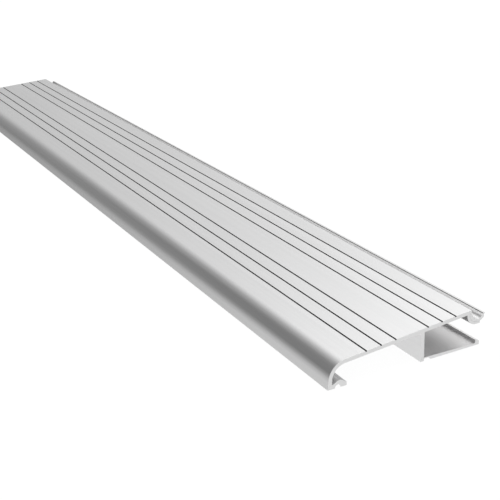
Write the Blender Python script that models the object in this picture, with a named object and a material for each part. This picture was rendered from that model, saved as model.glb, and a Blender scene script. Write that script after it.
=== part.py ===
"""Door threshold strip: a sloping fluted tread on a nose skirt and a leg,
a separate foot rail and a separate rear rail.

Frame: metres, +Z up.  The origin is at the centre of the strip's footprint,
at the level of the floor it stands on.  +Y runs along the strip, +X runs from
the nose (front, outside) to the rear.  The section is drawn in millimetres,
measured from the first flute, and is moved to that origin at the end.
"""

import math

import bmesh
import bpy

# ---------------------------------------------------------------- dimensions
MM = 0.001

LENGTH = 762.0            # cut length, one 30 inch door opening

# tread
SLOPE = math.radians(5.0)  # the tread falls towards the nose
TOP_AT_FLUTE = 17.44      # height of the tread's face at the first flute
TREAD_WALL = 2.5
REAR_EDGE = 74.4          # along the tread, from the first flute
REAR_EDGE_R = 0.3

# flutes, in two groups of three
FLUTE_PITCH = 10.0
FLUTE_GROUP = 3
FLUTE_SECOND_GROUP = 42.6
FLUTE_WIDTH = 1.0
FLUTE_DEPTH = 0.45

# nose and its skirt
NOSE_R = 11.0
NOSE_WALL = 2.4
NOSE_CENTRE_U = -14.0     # along the tread
NOSE_TURN = 82.0          # degrees from upright, where the nose runs into the skirt
SKIRT_R = 27.0            # easier curve from there
SKIRT_TURN = 87.2         # and the flat skirt's own angle
SKIRT_SOLE = 4.7          # width of the skirt's flat bottom

# arched hook behind the skirt
ARCH_X = -17.85
ARCH_Z = 0.4
ARCH_R = 1.65
ARCH_END_X = -15.75
HOOK_X = -16.85
HOOK_Z = 0.2
HOOK_R = 4.3
HOOK_END_X = -12.0
HOOK_END_H = 2.15
CROTCH_Z = 2.3            # where the hook meets the inside of the skirt

# leg
LEG_X = 38.51             # front face at floor level
LEG_LEAN = math.radians(3.7)
LEG_WALL = 2.8

# foot rail
FOOT_HEEL_X = 46.2        # front of the foot's sole
FOOT_HEEL_TOP_X = 44.2
FOOT_TOP_FRONT = 2.28
FOOT_TOP_REAR = 1.35
TONGUE_UNDER = 1.58
BEAD_R = 0.62
BEAD_SET_BACK = 1.35      # bead's centre, behind the leg's rear face
LIP_X0 = 79.5
LIP_X1 = 82.5
LIP_TOP = 3.4
LIP_LAND = 1.55           # flat on the lip's top, in front of its chamfer
LIP_SHOULDER = 2.2

# rear socket in the tread and the rail that lies in it
SOCKET_X = 78.6
SOCKET_Z = 21.4
SOCKET_R = 7.35
SOCKET_END_X = 81.5
BED_X = 78.9
BED_R = 5.85
RAIL_WALL = 1.5
CHANNEL_X = 79.45         # front half of the channel's round bottom
CHANNEL_Z = 20.9
CHANNEL_R = 3.9
CHANNEL_REAR_X = 79.6     # rear half, a tighter curve up to the arm
CHANNEL_REAR_R = 3.2
ARM_IN_X = 82.92
ARM_OUT_X = 84.12
ARM_NOTCH_Z = 19.9       # fine groove along the arm's inner top edge
ARM_NOTCH_DEPTH = 0.42
ARM_CROWN_X = 83.05
ARM_CROWN = 20.14
ARM_TIP_X = 84.9          # small outward lip
ARM_TIP_TOP = 20.12

GAP = 0.12                # play between pieces that slide into each other


# ------------------------------------------------------------ section helpers
def on_tread(u, v=0.0):
    """Section point u along the tread's face from the first flute, v below it."""
    return (u * math.cos(SLOPE) + v * math.sin(SLOPE),
            TOP_AT_FLUTE + u * math.sin(SLOPE) - v * math.cos(SLOPE))


def tread_height(x, v=0.0):
    """Height at x of the line that lies v below the tread's face."""
    return TOP_AT_FLUTE + x * math.tan(SLOPE) - v / math.cos(SLOPE)


def leg_front(z):
    return LEG_X - z * math.tan(LEG_LEAN)


def leg_rear(z):
    return leg_front(z) + LEG_WALL / math.cos(LEG_LEAN)


def arc(cx, cz, r, start, end, steps):
    """Points on an arc; angles in degrees, anticlockwise from +X."""
    pts = []
    for i in range(steps + 1):
        a = math.radians(start + (end - start) * i / steps)
        pts.append((cx + r * math.cos(a), cz + r * math.sin(a)))
    return pts


def corner(p, r):
    """A corner to be rounded with radius r."""
    return (p[0], p[1], r)


def rounded(path, steps=3):
    """Replace each (x, z, r) corner of a closed outline by a tangent arc."""
    out = []
    n = len(path)
    for i, p in enumerate(path):
        if len(p) == 2 or p[2] <= 0.0:
            out.append((p[0], p[1]))
            continue
        a, b = path[i - 1], path[(i + 1) % n]
        ax, az = a[0] - p[0], a[1] - p[1]
        bx, bz = b[0] - p[0], b[1] - p[1]
        la, lb = math.hypot(ax, az), math.hypot(bx, bz)
        ax, az, bx, bz = ax / la, az / la, bx / lb, bz / lb
        half = 0.5 * math.acos(max(-1.0, min(1.0, ax * bx + az * bz)))
        if half > math.radians(88.0):
            out.append((p[0], p[1]))
            continue
        reach = min(p[2] / math.tan(half), 0.49 * la, 0.49 * lb)
        r = reach * math.tan(half)
        mx, mz = ax + bx, az + bz
        lm = math.hypot(mx, mz)
        cx = p[0] + mx / lm * r / math.sin(half)
        cz = p[1] + mz / lm * r / math.sin(half)
        a0 = math.atan2(p[1] + az * reach - cz, p[0] + ax * reach - cx)
        a1 = math.atan2(p[1] + bz * reach - cz, p[0] + bx * reach - cx)
        turn = (a1 - a0 + math.pi) % (2.0 * math.pi) - math.pi
        for k in range(steps + 1):
            t = a0 + turn * k / steps
            out.append((cx + r * math.cos(t), cz + r * math.sin(t)))
    return out


def bed_start(r, below):
    """Angle at which the bed's arc of radius r meets the tread's underside."""
    roof = tread_height(BED_X - r, TREAD_WALL) - below
    return 180.0 + math.degrees(math.asin((SOCKET_Z - roof) / r))


def flute_positions():
    near = [i * FLUTE_PITCH for i in range(FLUTE_GROUP)]
    return near + [FLUTE_SECOND_GROUP + p for p in near]


# ------------------------------------------------------------------ sections
def tread_section():
    """Outline of the tread extrusion, anticlockwise from its rear edge."""
    p = [corner(on_tread(REAR_EDGE), REAR_EDGE_R)]

    # the fluted face, rear to front
    half = 0.5 * FLUTE_WIDTH
    for u in reversed(flute_positions()):
        p += [on_tread(u + half), on_tread(u + 0.7 * half, FLUTE_DEPTH),
              on_tread(u - 0.7 * half, FLUTE_DEPTH), on_tread(u - half)]

    # bullnose, then the skirt down to the floor
    cx, cz = on_tread(NOSE_CENTRE_U, NOSE_R)
    p += arc(cx, cz, NOSE_R, 90.0 + math.degrees(SLOPE), 90.0 + NOSE_TURN, 15)
    turn = math.radians(NOSE_TURN)
    easy_x = cx - (NOSE_R - SKIRT_R) * math.sin(turn)
    easy_z = cz + (NOSE_R - SKIRT_R) * math.cos(turn)
    p += arc(easy_x, easy_z, SKIRT_R, 90.0 + NOSE_TURN, 90.0 + SKIRT_TURN, 3)[1:]
    toe_x = p[-1][0] - p[-1][1] * math.tan(math.radians(90.0 - SKIRT_TURN))
    p += [corner((toe_x, 0.0), 0.15), (toe_x + SKIRT_SOLE, 0.0)]

    # half-round arch under the hook, and the hook's end
    p += arc(ARCH_X, ARCH_Z, ARCH_R, 180.0, 0.0, 12)
    p += [(ARCH_END_X, 0.0)]
    p += [corner((HOOK_END_X, 0.0), 0.3), corner((HOOK_END_X, HOOK_END_H), 0.25)]
    p += arc(HOOK_X, HOOK_Z, HOOK_R, 61.0, 130.0, 8)
    inner_x = cx - NOSE_R + NOSE_WALL
    p += [corner((inner_x - 0.1, CROTCH_Z), 0.45)]

    # inside of the skirt and nose
    p += arc(cx, cz, NOSE_R - NOSE_WALL, 180.0, 90.0 + math.degrees(SLOPE), 12)

    # tread's underside to the leg, the leg, and the groove for the foot's bead
    leg_top = tread_height(LEG_X, TREAD_WALL)
    p += [corner((leg_front(leg_top), tread_height(leg_front(leg_top), TREAD_WALL)), 0.6)]
    p += [corner((LEG_X, 0.0), 0.3), corner((leg_rear(0.0), 0.0), 0.3)]
    bead_z = 0.5 * (TONGUE_UNDER + FOOT_TOP_FRONT)
    bead_x = leg_rear(bead_z) - BEAD_SET_BACK
    throat = 0.5 * (FOOT_TOP_FRONT - TONGUE_UNDER) + GAP
    groove_r = BEAD_R + GAP
    open_deg = math.degrees(math.asin(throat / groove_r))
    p += [(leg_rear(bead_z - throat), bead_z - throat)]
    p += arc(bead_x, bead_z, groove_r, 360.0 - open_deg, open_deg, 12)
    p += [(leg_rear(bead_z + throat), bead_z + throat)]
    p += [corner((leg_rear(leg_top), tread_height(leg_rear(leg_top), TREAD_WALL)), 0.6)]

    # underside to the round socket, its flat underside and its end
    left = SOCKET_X - SOCKET_R
    p += [corner((left, tread_height(left, TREAD_WALL)), 0.5)]
    p += arc(SOCKET_X, SOCKET_Z, SOCKET_R, 184.0, 270.0, 12)
    bed_z = SOCKET_Z - BED_R
    p += [corner((SOCKET_END_X, SOCKET_Z - SOCKET_R), 0.3), (SOCKET_END_X, bed_z)]

    # bed that the rear rail lies in, up under the tread's rear edge
    p += arc(BED_X, SOCKET_Z, BED_R, 270.0, bed_start(BED_R, 0.0), 12)
    edge = on_tread(REAR_EDGE + 0.25, TREAD_WALL)
    p += [corner(edge, 0.2)]
    return rounded(p)


def foot_section():
    """Outline of the foot rail: bead, tongue, sole and upturned lip."""
    bead_z = 0.5 * (TONGUE_UNDER + FOOT_TOP_FRONT)
    bead_x = leg_rear(bead_z) - BEAD_SET_BACK
    half = 0.5 * (FOOT_TOP_FRONT - TONGUE_UNDER)
    join = math.degrees(math.asin(half / BEAD_R))
    p = arc(bead_x, bead_z, BEAD_R, join, 360.0 - join, 16)
    p += [(FOOT_HEEL_TOP_X, TONGUE_UNDER), corner((FOOT_HEEL_X, 0.0), 0.3)]
    p += [corner((LIP_X1, 0.0), 0.3), corner((LIP_X1, LIP_SHOULDER), 0.4)]
    p += [corner((LIP_X0 + LIP_LAND, LIP_TOP), 0.4), corner((LIP_X0, LIP_TOP), 0.15)]
    p += [corner((LIP_X0, FOOT_TOP_REAR), 1.5)]
    return rounded(p)


def rail_section():
    """Outline of the rear rail: a channel whose rear wall stands up as an arm."""
    r = BED_R - GAP
    start = bed_start(r, GAP)
    sole = SOCKET_Z - r
    p = arc(BED_X, SOCKET_Z, r, start, 270.0, 12)
    p[0] = corner(p[0], 0.15)
    p += [(SOCKET_END_X + 0.15, sole)]
    p += [corner((83.2, 16.4), 0.3), corner((83.4, 16.95), 0.2)]
    p += [corner((ARM_OUT_X + 0.18, 17.3), 0.3), corner((ARM_OUT_X, 19.3), 0.5)]
    p += [corner((ARM_TIP_X, ARM_TIP_TOP - 0.17), 0.05), corner((ARM_TIP_X - 0.02, ARM_TIP_TOP), 0.05)]
    mid_x = 0.5 * (ARM_IN_X + ARM_CROWN_X) + 0.835 * ARM_NOTCH_DEPTH
    mid_z = 0.5 * (ARM_NOTCH_Z + ARM_CROWN) - 0.55 * ARM_NOTCH_DEPTH
    p += [(ARM_CROWN_X, ARM_CROWN), (mid_x + 0.06, mid_z + 0.09),
          (mid_x - 0.06, mid_z - 0.09), (ARM_IN_X, ARM_NOTCH_Z)]
    # inside of the channel
    rear_z = CHANNEL_Z - CHANNEL_R + CHANNEL_REAR_R
    p += arc(CHANNEL_REAR_X, rear_z, CHANNEL_REAR_R, 345.0, 270.0, 9)
    p += arc(CHANNEL_X, CHANNEL_Z, CHANNEL_R, 270.0, 195.0, 9)
    limb = p[0][0] + RAIL_WALL
    p += [corner((limb, tread_height(limb, TREAD_WALL) - GAP), 0.3)]
    return rounded(p)


# ------------------------------------------------------------------ building
def make_material(name, colour, roughness, metallic):
    mat = bpy.data.materials.new(name)
    mat.use_nodes = True
    bsdf = mat.node_tree.nodes["Principled BSDF"]
    bsdf.inputs["Base Color"].default_value = (*colour, 1.0)
    bsdf.inputs["Roughness"].default_value = roughness
    bsdf.inputs["Metallic"].default_value = metallic
    mat.diffuse_color = (*colour, 1.0)
    return mat


def extrude(name, outline, offset_x, material):
    """Extrude a section outline along Y into one closed body."""
    half = 0.5 * LENGTH * MM
    bm = bmesh.new()
    near = [bm.verts.new(((x + offset_x) * MM, -half, z * MM)) for x, z in outline]
    face = bm.faces.new(near)
    made = bmesh.ops.extrude_face_region(bm, geom=[face])
    moved = [g for g in made["geom"] if isinstance(g, bmesh.types.BMVert)]
    bmesh.ops.translate(bm, verts=moved, vec=(0.0, 2.0 * half, 0.0))
    bmesh.ops.remove_doubles(bm, verts=bm.verts, dist=1e-6)
    bmesh.ops.recalc_face_normals(bm, faces=bm.faces)
    mesh = bpy.data.meshes.new(name)
    bm.to_mesh(mesh)
    bm.free()
    mesh.materials.append(material)
    mesh.shade_smooth()
    mesh.set_sharp_from_angle(angle=math.radians(28.0))
    obj = bpy.data.objects.new(name, mesh)
    bpy.context.scene.collection.objects.link(obj)
    return obj


def main():
    for obj in list(bpy.data.objects):
        bpy.data.objects.remove(obj, do_unlink=True)

    sections = {
        "tread_profile": tread_section(),
        "foot_rail": foot_section(),
        "rear_rail": rail_section(),
    }
    xs = [x for outline in sections.values() for x, _ in outline]
    offset_x = -0.5 * (min(xs) + max(xs))

    mill = make_material("mill_aluminium", (0.82, 0.82, 0.83), 0.32, 1.0)
    rail = make_material("rail_aluminium", (0.80, 0.80, 0.81), 0.34, 1.0)
    for name, outline in sections.items():
        extrude(name, outline, offset_x, mill if name == "tread_profile" else rail)


main()
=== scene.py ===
"""Door threshold strip: the finished surfaces, the studio and the camera."""

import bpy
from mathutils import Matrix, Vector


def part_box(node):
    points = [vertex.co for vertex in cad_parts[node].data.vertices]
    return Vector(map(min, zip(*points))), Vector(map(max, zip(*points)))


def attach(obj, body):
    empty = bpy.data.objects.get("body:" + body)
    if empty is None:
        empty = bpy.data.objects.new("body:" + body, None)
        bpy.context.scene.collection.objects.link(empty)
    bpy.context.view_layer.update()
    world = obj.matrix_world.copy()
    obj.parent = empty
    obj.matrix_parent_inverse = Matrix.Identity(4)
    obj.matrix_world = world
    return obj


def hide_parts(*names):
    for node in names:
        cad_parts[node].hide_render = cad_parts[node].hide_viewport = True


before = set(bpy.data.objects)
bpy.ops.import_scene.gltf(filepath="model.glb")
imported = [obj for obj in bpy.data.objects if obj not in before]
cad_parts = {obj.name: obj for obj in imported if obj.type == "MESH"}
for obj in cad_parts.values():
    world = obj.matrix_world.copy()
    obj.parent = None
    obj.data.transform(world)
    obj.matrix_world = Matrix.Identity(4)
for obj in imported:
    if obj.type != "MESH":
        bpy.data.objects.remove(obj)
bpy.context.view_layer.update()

import math

import bmesh
import bpy
from mathutils import Matrix, Vector
from mathutils.geometry import tessellate_polygon

MM = 0.001
scene = bpy.context.scene

# --------------------------------------------------------------- section sizes
# millimetres, measured from the first flute; the CAD holds the same section
LENGTH = 762.0
SLOPE = math.radians(5.0)
TOP_AT_FLUTE = 17.44
TREAD_WALL = 2.5
REAR_EDGE = 74.4
REAR_EDGE_R = 0.3
FLUTE_PITCH = 10.0
FLUTE_SECOND_GROUP = 42.6
FLUTE_WIDTH = 1.0
FLUTE_DEPTH = 0.45
NOSE_R = 11.0
NOSE_WALL = 2.4
NOSE_CENTRE_U = -14.0
NOSE_TURN = 82.0
SKIRT_R = 27.0
SKIRT_TURN = 87.2
SKIRT_SOLE = 4.7
ARCH_X = -17.85
ARCH_Z = 0.4
ARCH_R = 1.65
ARCH_END_X = -15.75
HOOK_X = -16.85
HOOK_Z = 0.2
HOOK_R = 4.3
HOOK_END_X = -12.0
CROTCH_Z = 2.3
HOOK_END_H = 2.15
LEG_X = 38.51
LEG_LEAN = math.radians(3.7)
LEG_WALL = 2.8
FOOT_HEEL_X = 46.2
FOOT_HEEL_TOP_X = 44.2
FOOT_TOP_FRONT = 2.28
FOOT_TOP_REAR = 1.35
TONGUE_UNDER = 1.58
BEAD_R = 0.62
BEAD_SET_BACK = 1.35
LIP_X0 = 79.5
LIP_X1 = 82.5
LIP_TOP = 3.4
LIP_LAND = 1.55
LIP_SHOULDER = 2.2
SOCKET_X = 78.6
SOCKET_Z = 21.4
SOCKET_R = 7.35
SOCKET_END_X = 81.5
BED_X = 78.9
BED_R = 5.85
RAIL_WALL = 1.5
CHANNEL_X = 79.45
CHANNEL_Z = 20.9
CHANNEL_R = 3.9
CHANNEL_REAR_X = 79.6
CHANNEL_REAR_R = 3.2
ARM_IN_X = 82.92
ARM_OUT_X = 84.12
ARM_NOTCH_Z = 19.9
ARM_NOTCH_DEPTH = 0.42
ARM_CROWN_X = 83.05
ARM_CROWN = 20.14
ARM_TIP_X = 84.9
ARM_TIP_TOP = 20.12
GAP = 0.03

# slots 2 and 3 hold painted shade: near-black in the flutes, a darker aluminium in the hollows
METAL, CUT, FLUTE_PAINTED_SHADE, HOLLOW_PAINTED_SHADE = 0, 1, 2, 3


# ------------------------------------------------------------ section helpers
def on_tread(u, v=0.0):
    return (u * math.cos(SLOPE) + v * math.sin(SLOPE),
            TOP_AT_FLUTE + u * math.sin(SLOPE) - v * math.cos(SLOPE))


def tread_height(x, v=0.0):
    return TOP_AT_FLUTE + x * math.tan(SLOPE) - v / math.cos(SLOPE)


def leg_front(z):
    return LEG_X - z * math.tan(LEG_LEAN)


def leg_rear(z):
    return leg_front(z) + LEG_WALL / math.cos(LEG_LEAN)


def bed_start(r, below):
    roof = tread_height(BED_X - r, TREAD_WALL) - below
    return 180.0 + math.degrees(math.asin((SOCKET_Z - roof) / r))


def arc(cx, cz, r, start, end, tag=None, step=0.28):
    """Points on an arc, no more than step millimetres apart."""
    n = max(3, int(math.ceil(abs(math.radians(end - start)) * r / step)))
    n = min(n, max(6, int(abs(end - start) / 2.5)))
    return [(cx + r * math.cos(math.radians(start + (end - start) * i / n)),
             cz + r * math.sin(math.radians(start + (end - start) * i / n)), 0.0, tag)
            for i in range(n + 1)]


def P(x, z, r=0.0, tag=None):
    """An outline point; r rounds its corner, tag marks the face that follows it."""
    return (x, z, r, tag)


def Q(pt, r=0.0, tag=None):
    return (pt[0], pt[1], r, tag)


def rounded(path, turn_step=9.0):
    """Closed outline with its corners rounded: a list of (x, z, tag)."""
    out = []
    n = len(path)
    for i, p in enumerate(path):
        if p[2] <= 0.0:
            out.append((p[0], p[1], p[3]))
            continue
        a, b = path[i - 1], path[(i + 1) % n]
        ax, az = a[0] - p[0], a[1] - p[1]
        bx, bz = b[0] - p[0], b[1] - p[1]
        la, lb = math.hypot(ax, az), math.hypot(bx, bz)
        ax, az, bx, bz = ax / la, az / la, bx / lb, bz / lb
        half = 0.5 * math.acos(max(-1.0, min(1.0, ax * bx + az * bz)))
        if half > math.radians(88.0):
            out.append((p[0], p[1], p[3]))
            continue
        reach = min(p[2] / math.tan(half), 0.49 * la, 0.49 * lb)
        r = reach * math.tan(half)
        mx, mz = ax + bx, az + bz
        lm = math.hypot(mx, mz)
        cx = p[0] + mx / lm * r / math.sin(half)
        cz = p[1] + mz / lm * r / math.sin(half)
        a0 = math.atan2(p[1] + az * reach - cz, p[0] + ax * reach - cx)
        a1 = math.atan2(p[1] + bz * reach - cz, p[0] + bx * reach - cx)
        turn = (a1 - a0 + math.pi) % (2.0 * math.pi) - math.pi
        steps = max(2, int(round(abs(math.degrees(turn)) / turn_step)))
        for k in range(steps + 1):
            t = a0 + turn * k / steps
            out.append((cx + r * math.cos(t), cz + r * math.sin(t), p[3]))
    return out


def flute_positions():
    near = [i * FLUTE_PITCH for i in range(3)]
    return near + [FLUTE_SECOND_GROUP + p for p in near]


# ------------------------------------------------------------------- sections
def tread_section():
    p = [Q(on_tread(REAR_EDGE), REAR_EDGE_R)]
    half = 0.5 * FLUTE_WIDTH
    # the flute faces are tagged for the near-black material that is painted shade
    for u in reversed(flute_positions()):
        p += [Q(on_tread(u + half), 0.10, "flute"),
              Q(on_tread(u + 0.8 * half, FLUTE_DEPTH), 0.16, "flute"),
              Q(on_tread(u - 0.8 * half, FLUTE_DEPTH), 0.16, "flute"),
              Q(on_tread(u - half), 0.10)]
    cx, cz = on_tread(NOSE_CENTRE_U, NOSE_R)
    p += arc(cx, cz, NOSE_R, 90.0 + math.degrees(SLOPE), 90.0 + NOSE_TURN)
    turn = math.radians(NOSE_TURN)
    easy_x = cx - (NOSE_R - SKIRT_R) * math.sin(turn)
    easy_z = cz + (NOSE_R - SKIRT_R) * math.cos(turn)
    p += arc(easy_x, easy_z, SKIRT_R, 90.0 + NOSE_TURN, 90.0 + SKIRT_TURN)[1:]
    toe_x = p[-1][0] - p[-1][1] * math.tan(math.radians(90.0 - SKIRT_TURN))
    p += [P(toe_x, 0.0, 0.12), P(toe_x + SKIRT_SOLE, 0.0, 0.0)]
    p += arc(ARCH_X, ARCH_Z, ARCH_R, 180.0, 0.0)
    p += [P(ARCH_END_X, 0.0, 0.0)]
    # faces tagged hollow get the darker aluminium that is painted shade
    p += [P(HOOK_END_X, 0.0, 0.3), P(HOOK_END_X, HOOK_END_H, 0.25, "hollow")]
    p += arc(HOOK_X, HOOK_Z, HOOK_R, 61.0, 130.0, "hollow")
    inner_x = cx - NOSE_R + NOSE_WALL
    p += [P(inner_x - 0.1, CROTCH_Z, 0.45, "hollow")]
    p += arc(cx, cz, NOSE_R - NOSE_WALL, 180.0, 90.0 + math.degrees(SLOPE), "hollow")[:-1]
    p += [Q(on_tread(NOSE_CENTRE_U, NOSE_WALL))]
    leg_top = tread_height(LEG_X, TREAD_WALL)
    p += [P(leg_front(leg_top), tread_height(leg_front(leg_top), TREAD_WALL), 0.6)]
    p += [P(LEG_X, 0.0, 0.3), P(leg_rear(0.0), 0.0, 0.3)]
    bead_z = 0.5 * (TONGUE_UNDER + FOOT_TOP_FRONT)
    bead_x = leg_rear(bead_z) - BEAD_SET_BACK
    throat = 0.5 * (FOOT_TOP_FRONT - TONGUE_UNDER) + GAP
    groove_r = BEAD_R + GAP
    open_deg = math.degrees(math.asin(throat / groove_r))
    p += [P(leg_rear(bead_z - throat), bead_z - throat, 0.12)]
    p += arc(bead_x, bead_z, groove_r, 360.0 - open_deg, open_deg)
    p += [P(leg_rear(bead_z + throat), bead_z + throat, 0.12)]
    p += [P(leg_rear(leg_top), tread_height(leg_rear(leg_top), TREAD_WALL), 0.6)]
    left = SOCKET_X - SOCKET_R
    p += [P(left, tread_height(left, TREAD_WALL), 0.5, "hollow")]
    p += arc(SOCKET_X, SOCKET_Z, SOCKET_R, 184.0, 270.0, "hollow")[:-1]
    p += [P(SOCKET_X, SOCKET_Z - SOCKET_R)]
    bed_z = SOCKET_Z - BED_R
    p += [P(SOCKET_END_X, SOCKET_Z - SOCKET_R, 0.3), P(SOCKET_END_X, bed_z, 0.12)]
    p += arc(BED_X, SOCKET_Z, BED_R, 270.0, bed_start(BED_R, 0.0))
    p += [Q(on_tread(REAR_EDGE + 0.25, TREAD_WALL), 0.2)]
    return rounded(p)


def foot_section():
    bead_z = 0.5 * (TONGUE_UNDER + FOOT_TOP_FRONT)
    bead_x = leg_rear(bead_z) - BEAD_SET_BACK
    half = 0.5 * (FOOT_TOP_FRONT - TONGUE_UNDER)
    join = math.degrees(math.asin(half / BEAD_R))
    p = arc(bead_x, bead_z, BEAD_R, join, 360.0 - join)
    p += [P(FOOT_HEEL_TOP_X, TONGUE_UNDER, 0.2), P(FOOT_HEEL_X, 0.0, 0.3)]
    p += [P(LIP_X1, 0.0, 0.3), P(LIP_X1, LIP_SHOULDER, 0.4)]
    p += [P(LIP_X0 + LIP_LAND, LIP_TOP, 0.4), P(LIP_X0, LIP_TOP, 0.15)]
    p += [P(LIP_X0, FOOT_TOP_REAR, 1.5)]
    return rounded(p)


def rail_section():
    r = BED_R - GAP
    p = arc(BED_X, SOCKET_Z, r, bed_start(r, GAP), 270.0)
    p[0] = P(p[0][0], p[0][1], 0.15)
    p += [P(SOCKET_END_X + 0.15, SOCKET_Z - r, 0.2)]
    p += [P(83.2, 16.4, 0.3), P(83.4, 16.95, 0.2)]
    p += [P(ARM_OUT_X + 0.18, 17.3, 0.3), P(ARM_OUT_X, 19.3, 0.5)]
    p += [P(ARM_TIP_X, ARM_TIP_TOP - 0.17, 0.05), P(ARM_TIP_X - 0.02, ARM_TIP_TOP, 0.05)]
    mx = 0.5 * (ARM_IN_X + ARM_CROWN_X) + 0.835 * ARM_NOTCH_DEPTH
    mz = 0.5 * (ARM_NOTCH_Z + ARM_CROWN) - 0.55 * ARM_NOTCH_DEPTH
    # the notch on the arm's top takes the same near-black painted shade as the flutes
    p += [P(ARM_CROWN_X, ARM_CROWN, 0.1, "flute"), P(mx + 0.06, mz + 0.09, 0.06, "flute"),
          P(mx - 0.06, mz - 0.09, 0.06, "flute"), P(ARM_IN_X, ARM_NOTCH_Z, 0.08)]
    rear_z = CHANNEL_Z - CHANNEL_R + CHANNEL_REAR_R
    p += arc(CHANNEL_REAR_X, rear_z, CHANNEL_REAR_R, 345.0, 270.0)
    p += arc(CHANNEL_X, CHANNEL_Z, CHANNEL_R, 270.0, 195.0)
    limb = p[0][0] + RAIL_WALL
    p += [P(limb, tread_height(limb, TREAD_WALL) - GAP, 0.3)]
    return rounded(p)


# ------------------------------------------------------------------- building
def tidy(outline, least=0.02):
    """Drops points closer together than least."""
    out = []
    for q in outline:
        if not out or math.hypot(q[0] - out[-1][0], q[1] - out[-1][1]) > least:
            out.append(q)
    while math.hypot(out[0][0] - out[-1][0], out[0][1] - out[-1][1]) <= least:
        out.pop()
    return out


def signed_area(outline):
    return 0.5 * sum(outline[i - 1][0] * q[1] - q[0] * outline[i - 1][1]
                     for i, q in enumerate(outline))


def inset(outline, d):
    """The outline moved into the material by d, less at corners tighter than d."""
    side = 1.0 if signed_area(outline) > 0.0 else -1.0
    n = len(outline)
    normals, lengths = [], []
    for i, q in enumerate(outline):
        b = outline[(i + 1) % n]
        e = Vector((b[0] - q[0], b[1] - q[1]))
        lengths.append(e.length)
        e.normalize()
        normals.append(Vector((-e.y, e.x)) * side)
    reach = []
    for i in range(n):
        n1, n2 = normals[i - 1], normals[i]
        turn = (n1.x * n2.y - n1.y * n2.x) * side
        angle = math.atan2(abs(turn), n1.dot(n2))
        if turn > 1e-6 and angle > 1e-3:
            tight = min(lengths[i - 1], lengths[i]) / (2.0 * math.tan(0.5 * angle))
            reach.append(min(d, 0.7 * tight))
        else:
            reach.append(d)
    for _ in range(3):
        reach = [min(reach[i], reach[i - 1] + 0.5 * lengths[i - 1], reach[(i + 1) % n] + 0.5 * lengths[i])
                 for i in range(n)]
    out = []
    for i, q in enumerate(outline):
        m = normals[i - 1] + normals[i]
        if m.length < 1e-6:
            out.append((q[0], q[1]))
            continue
        m.normalize()
        k = reach[i] / max(m.dot(normals[i]), 0.5)
        out.append((q[0] + m.x * k, q[1] + m.y * k))
    return out


def build(name, outline, offset_x, cut_round, materials):
    """Extrudes an outline along Y, with finely rounded edges at both cut ends."""
    outline = tidy(outline)
    half = 0.5 * LENGTH
    c = cut_round
    rings = [(-half, c), (-half + 0.3 * c, 0.3 * c), (-half + c, 0.0),
             (half - c, 0.0), (half - 0.3 * c, 0.3 * c), (half, c)]
    bm = bmesh.new()
    loops = []
    for y, d in rings:
        pts = inset(outline, d) if d else [(q[0], q[1]) for q in outline]
        loops.append([bm.verts.new(((x + offset_x) * MM, y * MM, z * MM)) for x, z in pts])
    n = len(outline)
    for k in range(len(rings) - 1):
        for i in range(n):
            j = (i + 1) % n
            f = bm.faces.new((loops[k][i], loops[k][j], loops[k + 1][j], loops[k + 1][i]))
            # flute faces take the near-black painted shade, hollow faces the darker aluminium that is painted shade
            f.material_index = {"flute": FLUTE_PAINTED_SHADE, "hollow": HOLLOW_PAINTED_SHADE}.get(outline[i][2], METAL)
            f.smooth = True
    for loop in (loops[0], loops[-1]):
        for tri in tessellate_polygon([[Vector((v.co.x, v.co.z, 0.0)) for v in loop]]):
            f = bm.faces.new([loop[k] for k in tri])
            f.material_index = CUT
            f.smooth = False
    bmesh.ops.recalc_face_normals(bm, faces=bm.faces)
    mesh = bpy.data.meshes.new(name)
    bm.to_mesh(mesh)
    bm.free()
    for m in materials:
        mesh.materials.append(m)
    mesh.set_sharp_from_angle(angle=math.radians(32.0))
    obj = bpy.data.objects.new(name, mesh)
    scene.collection.objects.link(obj)
    w = obj.modifiers.new("flat_faces_stay_flat", "WEIGHTED_NORMAL")
    w.keep_sharp = True
    w.weight = 100
    return obj


# ------------------------------------------------------------------ materials
class Nodes:
    """A short way to write node trees."""

    def __init__(self, tree):
        self.t = tree
        self.t.nodes.clear()

    def add(self, kind, inputs=None, **props):
        node = self.t.nodes.new(kind)
        for k, v in props.items():
            setattr(node, k, v)
        for k, v in (inputs or {}).items():
            sock = node.inputs[k]
            if isinstance(v, bpy.types.NodeSocket):
                self.t.links.new(v, sock)
            else:
                sock.default_value = v
        return node

    def math(self, op, a, b=0.0, c=0.0, clamp=False):
        node = self.t.nodes.new("ShaderNodeMath")
        node.operation = op
        node.use_clamp = clamp
        for i, v in enumerate((a, b, c)):
            if isinstance(v, bpy.types.NodeSocket):
                self.t.links.new(v, node.inputs[i])
            else:
                node.inputs[i].default_value = v
        return node.outputs[0]

    def ramp(self, fac, stops, interpolation="LINEAR"):
        node = self.t.nodes.new("ShaderNodeValToRGB")
        node.color_ramp.interpolation = interpolation
        el = node.color_ramp.elements
        while len(el) < len(stops):
            el.new(0.5)
        for e, (pos, v) in zip(el, stops):
            e.position = pos
            e.color = (v, v, v, 1.0) if isinstance(v, (int, float)) else (*v, 1.0)
        self.t.links.new(fac, node.inputs[0])
        return node.outputs[0]

    def spread(self, value, lo, hi, to_lo, to_hi):
        node = self.add("ShaderNodeMapRange", {"Value": value, "From Min": lo, "From Max": hi,
                                               "To Min": to_lo, "To Max": to_hi})
        return node.outputs["Result"]

    def stretched(self, coords, scale):
        return self.add("ShaderNodeVectorMath", {0: coords, 1: scale}, operation="MULTIPLY").outputs[0]


def material(name):
    m = bpy.data.materials.new(name)
    m.use_nodes = True
    return m, Nodes(m.node_tree)


def grain_across(nodes, coords):
    """Tangent that makes gloss spread across the die lines, which run along Y."""
    return nodes.add("ShaderNodeVectorTransform", {"Vector": (0.0, 1.0, 0.0)},
                     vector_type="VECTOR", convert_from="OBJECT", convert_to="WORLD").outputs[0]


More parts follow.
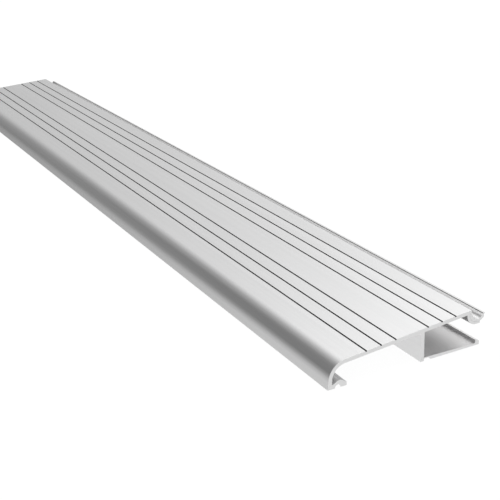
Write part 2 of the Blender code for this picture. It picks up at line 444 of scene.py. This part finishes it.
def extruded_aluminium(name, tone, rough, aniso=0.45, metallic=1.0):
    """Satin mill-finish extrusion: die lines along Y, faint drag streaks, fine etch grain."""
    m, n = material(name)
    pos = n.add("ShaderNodeTexCoord").outputs["Object"]
    fine = n.add("ShaderNodeTexNoise", {"Vector": n.stretched(pos, (2600.0, 3.0, 2600.0)), "Scale": 1.0,
                                        "Detail": 3.0, "Roughness": 0.6}).outputs[0]
    broad = n.add("ShaderNodeTexNoise", {"Vector": n.stretched(pos, (420.0, 1.6, 420.0)), "Scale": 1.0,
                                         "Detail": 4.0, "Roughness": 0.55}).outputs[0]
    cloud = n.add("ShaderNodeTexNoise", {"Vector": n.stretched(pos, (30.0, 9.0, 30.0)), "Scale": 1.0,
                                         "Detail": 3.0, "Roughness": 0.5}).outputs[0]
    etch = n.add("ShaderNodeTexNoise", {"Vector": n.stretched(pos, (7000.0, 3500.0, 7000.0)), "Scale": 1.0,
                                        "Detail": 2.0, "Roughness": 0.5}).outputs[0]
    shade = n.math("ADD", n.spread(broad, 0.3, 0.7, -0.020, 0.020), n.spread(cloud, 0.3, 0.7, -0.012, 0.012))
    shade = n.math("ADD", shade, n.spread(fine, 0.3, 0.7, -0.012, 0.012))
    value = n.math("ADD", shade, 1.0)
    colour = n.add("ShaderNodeVectorMath", {0: tone, "Scale": value}, operation="SCALE").outputs[0]
    r = n.math("ADD", n.spread(broad, 0.3, 0.7, -0.025, 0.025), rough)
    r = n.math("ADD", r, n.spread(fine, 0.3, 0.7, -0.02, 0.02))
    r = n.math("ADD", r, n.spread(etch, 0.3, 0.7, -0.012, 0.012), clamp=True)
    height = n.math("ADD", n.math("MULTIPLY", fine, 0.7), n.math("MULTIPLY", etch, 0.3))
    bump = n.add("ShaderNodeBump", {"Height": height, "Strength": 0.10, "Distance": 0.00004}).outputs[0]
    p = n.add("ShaderNodeBsdfPrincipled", {"Base Color": colour, "Metallic": metallic, "Roughness": r, "Normal": bump,
                                           "Anisotropic": aniso, "Anisotropic Rotation": 0.25,
                                           "Tangent": grain_across(n, pos)})
    n.add("ShaderNodeOutputMaterial", {"Surface": p.outputs[0]})
    return m


def sawn_aluminium(name, tone, rough):
    """End face left by a circular saw: shallow arcs of the blade's radius."""
    m, n = material(name)
    pos = n.add("ShaderNodeTexCoord").outputs["Object"]
    blade = n.add("ShaderNodeVectorMath", {0: pos, 1: (0.045, 0.0, -0.118)}, operation="SUBTRACT").outputs[0]
    blade = n.stretched(blade, (1.0, 0.0, 1.0))
    radius = n.add("ShaderNodeVectorMath", {0: blade}, operation="LENGTH").outputs["Value"]
    wobble = n.add("ShaderNodeTexNoise", {"Vector": n.stretched(pos, (160.0, 160.0, 160.0)), "Scale": 1.0,
                                          "Detail": 2.0}).outputs[0]
    phase = n.math("ADD", n.math("MULTIPLY", radius, 5200.0), n.math("MULTIPLY", wobble, 5.0))
    tooth = n.math("SINE", phase)
    ring = n.add("ShaderNodeTexNoise", {"W": n.math("MULTIPLY", radius, 3200.0), "Scale": 1.0, "Detail": 3.0},
                 noise_dimensions="1D").outputs[0]
    marks = n.math("ADD", n.math("MULTIPLY", tooth, 0.25), n.math("MULTIPLY", ring, 1.1))
    value = n.math("ADD", n.spread(ring, 0.3, 0.7, -0.045, 0.045), 1.0)
    colour = n.add("ShaderNodeVectorMath", {0: tone, "Scale": value}, operation="SCALE").outputs[0]
    r = n.math("ADD", n.spread(ring, 0.3, 0.7, -0.05, 0.05), rough, clamp=True)
    bump = n.add("ShaderNodeBump", {"Height": marks, "Strength": 0.16, "Distance": 0.00006}).outputs[0]
    p = n.add("ShaderNodeBsdfPrincipled", {"Base Color": colour, "Metallic": 1.0, "Roughness": r, "Normal": bump})
    n.add("ShaderNodeOutputMaterial", {"Surface": p.outputs[0]})
    return m


def flute_painted_shade(name, tone, rough):
    """Inside of a flute: coarser die drag, and a near-black tone that is painted shade for the groove, varied at
    random by blotchy noise.
    """
    m, n = material(name)
    pos = n.add("ShaderNodeTexCoord").outputs["Object"]
    drag = n.add("ShaderNodeTexNoise", {"Vector": n.stretched(pos, (5200.0, 14.0, 5200.0)), "Scale": 1.0,
                                        "Detail": 3.0, "Roughness": 0.6}).outputs[0]
    dust = n.add("ShaderNodeTexNoise", {"Vector": n.stretched(pos, (900.0, 160.0, 900.0)), "Scale": 1.0,
                                        "Detail": 4.0, "Roughness": 0.6}).outputs[0]
    value = n.math("ADD", n.spread(drag, 0.3, 0.7, -0.12, 0.12), n.spread(dust, 0.3, 0.7, 0.90, 1.14))
    colour = n.add("ShaderNodeVectorMath", {0: tone, "Scale": value}, operation="SCALE").outputs[0]
    r = n.math("ADD", n.spread(dust, 0.3, 0.7, -0.05, 0.06), rough, clamp=True)
    bump = n.add("ShaderNodeBump", {"Height": drag, "Strength": 0.2, "Distance": 0.00005}).outputs[0]
    p = n.add("ShaderNodeBsdfPrincipled", {"Base Color": colour, "Metallic": 0.55, "Roughness": r, "Normal": bump})
    n.add("ShaderNodeOutputMaterial", {"Surface": p.outputs[0]})
    return m


tread_metal = extruded_aluminium("tread_satin_aluminium", (0.880, 0.880, 0.882), 0.33)
rail_metal = extruded_aluminium("rail_satin_aluminium", (0.880, 0.878, 0.878), 0.35)
foot_metal = extruded_aluminium("foot_satin_aluminium", (0.878, 0.872, 0.872), 0.41, 0.3, 0.82)
# the darker tone is painted shade for the hollows in the nose, under the tread and in the socket; the higher
# roughness is a duller finish
hollow_painted_shade_metal = extruded_aluminium("hollow_painted_shade_aluminium", (0.735, 0.735, 0.737), 0.55, 0.2, 0.9)
cut_metal = sawn_aluminium("sawn_aluminium", (0.958, 0.958, 0.958), 0.42)
# near-black tone: painted shade for the flutes and for the notch on the rail's arm
flute_painted_shade_metal = flute_painted_shade("flute_painted_shade", (0.055, 0.055, 0.057), 0.5)

# --------------------------------------------------------------------- pieces
sections = {"tread": tread_section(), "foot": foot_section(), "rail": rail_section()}
xs = [q[0] for s in sections.values() for q in s]
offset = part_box("tread_profile")[0].x / MM - min(xs)

tread = build("tread_extrusion", sections["tread"], offset, 0.06,
              [tread_metal, cut_metal, flute_painted_shade_metal, hollow_painted_shade_metal])
foot = build("foot_extrusion", sections["foot"], offset, 0.05, [foot_metal, cut_metal])
rail = build("rear_rail_extrusion", sections["rail"], offset, 0.05, [rail_metal, cut_metal, flute_painted_shade_metal])
for piece, node, slot in ((tread, "tread_profile", "tread_aluminium"), (foot, "foot_rail", "rail_aluminium"),
                          (rail, "rear_rail", "rail_aluminium")):
    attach(piece, "root")
    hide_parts(node)

# ---------------------------------------------------------------------- stage
scene.view_settings.view_transform = "Standard"
scene.view_settings.look = "None"

world = bpy.data.worlds.new("studio")
scene.world = world
world.use_nodes = True
n = Nodes(world.node_tree)
direction = n.add("ShaderNodeTexCoord").outputs["Generated"]
# a soft tent around the object: one even level, with broad brighter and darker panels
# (gain, sharpness, azimuth, elevation); azimuth 0 looks along +Y
PANELS = [(-0.4934, 24.304, -54.21, 4.78),
          (1.8135, 12.532, 56.12, 62.92),
          (9.7391, 8.821, -5.56, -31.89),
          (-9.0566, 8.562, -6.66, -29.79),
          (-0.5376, 8.524, -30.99, 34.14)]
level = 0.7035
for gain, sharp, az, el in PANELS:
    az, el = math.radians(az), math.radians(el)
    aim = (math.sin(az) * math.cos(el), math.cos(az) * math.cos(el), math.sin(el))
    dot = n.add("ShaderNodeVectorMath", {0: direction, 1: aim}, operation="DOT_PRODUCT").outputs["Value"]
    lobe = n.math("EXPONENT", n.math("MULTIPLY_ADD", dot, sharp, -sharp))
    level = n.math("MULTIPLY_ADD", lobe, gain, level)
level = n.math("MAXIMUM", level, 0.03)
is_camera = n.add("ShaderNodeLightPath").outputs["Is Camera Ray"]
soft = n.add("ShaderNodeBackground", {"Color": (1.0, 1.0, 1.0, 1.0), "Strength": level}).outputs[0]
plain = n.add("ShaderNodeBackground", {"Color": (1.0, 1.0, 1.0, 1.0), "Strength": 1.0}).outputs[0]
mix = n.add("ShaderNodeMixShader", {0: is_camera, 1: soft, 2: plain}).outputs[0]
n.add("ShaderNodeOutputWorld", {"Surface": mix})

bm = bmesh.new()
bmesh.ops.create_grid(bm, x_segments=1, y_segments=1, size=12.0)
mesh = bpy.data.meshes.new("floor")
bm.to_mesh(mesh)
bm.free()
floor = bpy.data.objects.new("floor", mesh)
floor.location.z = -0.0003
scene.collection.objects.link(floor)
m, n = material("pale_floor")
paint = n.add("ShaderNodeBsdfDiffuse", {"Color": (0.12, 0.12, 0.12, 1.0)}).outputs[0]
light = n.add("ShaderNodeEmission", {"Color": (1.0, 1.0, 1.0, 1.0), "Strength": 0.93}).outputs[0]
both = n.add("ShaderNodeAddShader", {0: paint, 1: light}).outputs[0]
below = n.add("ShaderNodeNewGeometry").outputs["Backfacing"]
clear = n.add("ShaderNodeBsdfTransparent").outputs[0]
n.add("ShaderNodeOutputMaterial", {"Surface": n.add("ShaderNodeMixShader", {0: below, 1: both, 2: clear}).outputs[0]})
for ray in ("diffuse", "glossy", "transmission", "volume_scatter", "shadow"):
    setattr(floor, "visible_" + ray, False)
mesh.materials.append(m)

# --------------------------------------------------------------------- camera
cam = bpy.data.objects.new("camera", bpy.data.cameras.new("camera"))
scene.collection.objects.link(cam)
cam.data.sensor_width = 36.0
cam.data.lens = 65.473
cam.data.clip_start, cam.data.clip_end = 0.01, 50.0
near_flute = Vector((offset * MM, -0.5 * LENGTH * MM, TOP_AT_FLUTE * MM))
eye = near_flute + Vector((-0.26966288, -0.34237312, 0.23144195))
forward = Vector((0.46431633, 0.80305711, -0.37350986))
right = Vector((0.86615793, -0.49976543, 0.00222510))
up = Vector((0.18488043, 0.32455168, 0.92762354))
half_pixel = 0.5 / 909.33
forward = (forward - half_pixel * right + half_pixel * up).normalized()
right = (right - right.dot(forward) * forward).normalized()
up = right.cross(forward)
cam.matrix_world = Matrix(((right.x, up.x, -forward.x, eye.x), (right.y, up.y, -forward.y, eye.y),
                           (right.z, up.z, -forward.z, eye.z), (0.0, 0.0, 0.0, 1.0)))
scene.camera = cam
